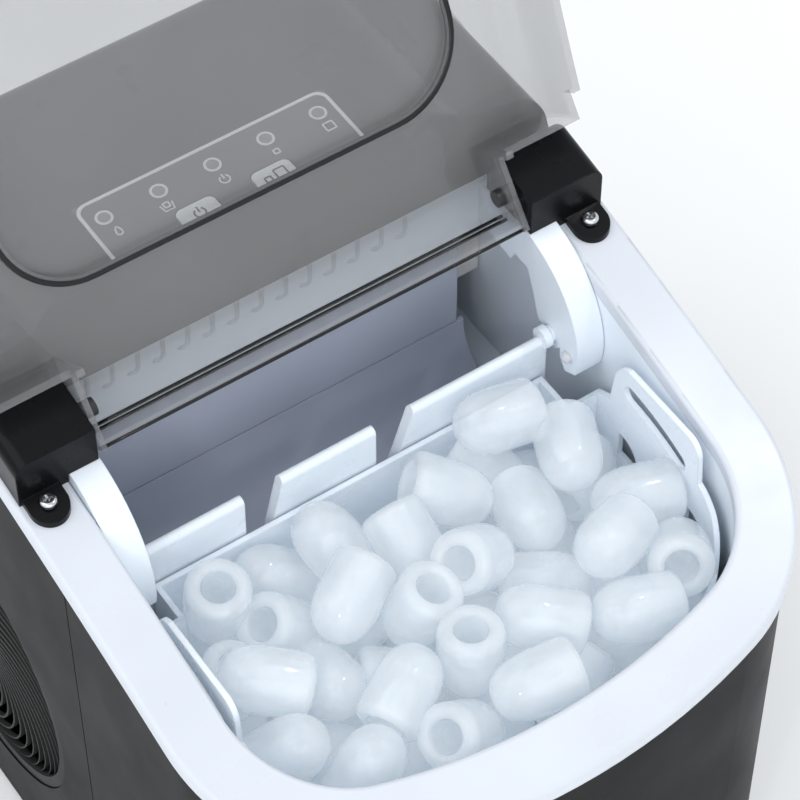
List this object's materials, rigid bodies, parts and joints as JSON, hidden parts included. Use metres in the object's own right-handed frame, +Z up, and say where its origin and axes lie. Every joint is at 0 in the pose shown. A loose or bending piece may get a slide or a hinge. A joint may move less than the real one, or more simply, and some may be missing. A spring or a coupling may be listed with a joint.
{
  "type": "ice maker",
  "caption": "Countertop ice maker with an open smoky hinged lid, a white rim, a lift-out basket, a side fan vent and a small control panel behind the lid.",
  "frame": {"origin": "centre of the footprint, on the surface that the feet stand on", "axes": "+X to the right seen from the front, +Y to the back, +Z up; the front with the basket faces -Y"},
  "size_m": [0.222, 0.282, 0.4079],
  "materials": {
    "rim_white": "satin white moulded plastic",
    "liner_white": "smooth white moulded plastic",
    "basket_white": "smooth white moulded plastic",
    "shovel_white": "smooth white moulded plastic",
    "black_base": "matte black plastic",
    "black_body": "fine textured black plastic",
    "black_grille": "fine textured black plastic",
    "black_cover": "satin black plastic",
    "black_hinge": "satin black plastic",
    "pin_black": "satin black plastic",
    "smoke_clear": "polished smoky clear plastic",
    "label_grey": "printed matt film",
    "button_white": "soft matt plastic",
    "lens_clear": "clear plastic",
    "lens_dark": "infrared black plastic",
    "board_green": "solder resist",
    "screw_steel": "bright plated steel",
    "screw_black": "black plated steel",
    "tray_grey": "smooth grey moulded plastic",
    "motor_white": "matt plastic",
    "evaporator_metal": "nickel plated copper",
    "fin_aluminium": "mill finish",
    "compressor_black": "gloss black paint",
    "copper": "drawn copper",
    "hose_silicone": "translucent silicone",
    "rubber_feet": "moulded rubber",
    "rubber_plug": "moulded silicone rubber",
    "ice": "wet frosted ice"
  },
  "bodies": {
    "housing": {"base_pan": "black_base", "cheek_left": "liner_white", "cheek_right": "liner_white", "compressor": "compressor_black", "condenser": "fin_aluminium", "control_board": "board_green", "control_label": "label_grey", "discharge_tube": "copper", "drain_spout": "liner_white", "drip_chute": "tray_grey", "evaporator": "evaporator_metal", "evaporator_shroud": "liner_white", "fan_shroud": "black_base", "feet": "rubber_feet", "filter_drier": "copper", "front_cover": "black_body", "hinge_block_left": "black_hinge", "hinge_block_right": "black_hinge", "hinge_screws": "screw_steel", "indicator_lenses": "lens_clear", "inner_tank": "liner_white", "ir_emitter": "lens_clear", "ir_receiver": "lens_dark", "left_side_panel": "black_body", "power_board": "board_green", "power_inlet": "black_base", "rear_panel": "black_body", "rear_screws": "screw_black", "right_side_panel": "black_body", "rim_surround": "rim_white", "suction_tube": "copper", "top_cover": "black_cover", "tray_bearing": "liner_white", "tray_gear_motor": "motor_white", "vent_grille": "black_grille", "water_hose": "hose_silicone", "water_pump": "motor_white"},
    "lid": {"lid": "smoke_clear", "lid_hinge_pins": "pin_black"},
    "basket": {"basket": "basket_white"},
    "tray": {"water_tray": "tray_grey"},
    "shovel": {"ice_shovel": "shovel_white"},
    "fan": {"fan_rotor": "black_base"},
    "key_on_off": {"button_on_off": "button_white"},
    "key_select": {"button_select": "button_white"},
    "plug": {"drain_plug": "rubber_plug"}
  },
  "joints": [
    {"name": "lid_hinge", "type": "hinge", "parent": "housing", "child": "lid", "pos_m": [0, 0.022, 0.2466], "axis": [-1, 0, 0], "range_deg": [-128, 0]},
    {"name": "basket_lift", "type": "slide", "parent": "housing", "child": "basket", "axis": [0, 0, 1], "range_m": [0, 0.1]},
    {"name": "tray_tilt", "type": "hinge", "parent": "housing", "child": "tray", "pos_m": [0, 0.066, 0.19], "axis": [1, 0, 0], "range_deg": [0, 45]},
    {"name": "shovel_sweep", "type": "hinge", "parent": "housing", "child": "shovel", "pos_m": [0, -0.0035, 0.201], "axis": [1, 0, 0], "range_deg": [0, 36]},
    {"name": "fan_spin", "type": "hinge", "parent": "housing", "child": "fan", "pos_m": [-0.09, 0.067, 0.092], "axis": [1, 0, 0], "continuous": true},
    {"name": "on_off_press", "type": "slide", "parent": "housing", "child": "key_on_off", "axis": [0, 0, -1], "range_m": [0, 0.001], "stiffness_N_per_m": 300},
    {"name": "select_press", "type": "slide", "parent": "housing", "child": "key_select", "axis": [0, 0, -1], "range_m": [0, 0.001], "stiffness_N_per_m": 300},
    {"name": "drain_plug_pull", "type": "slide", "parent": "housing", "child": "plug", "axis": [0, 1, 0], "range_m": [0, 0.02]}
  ],
  "couplings": [
    {"joint": "shovel_sweep", "follows": "tray_tilt", "ratio": 0.8}
  ]
}
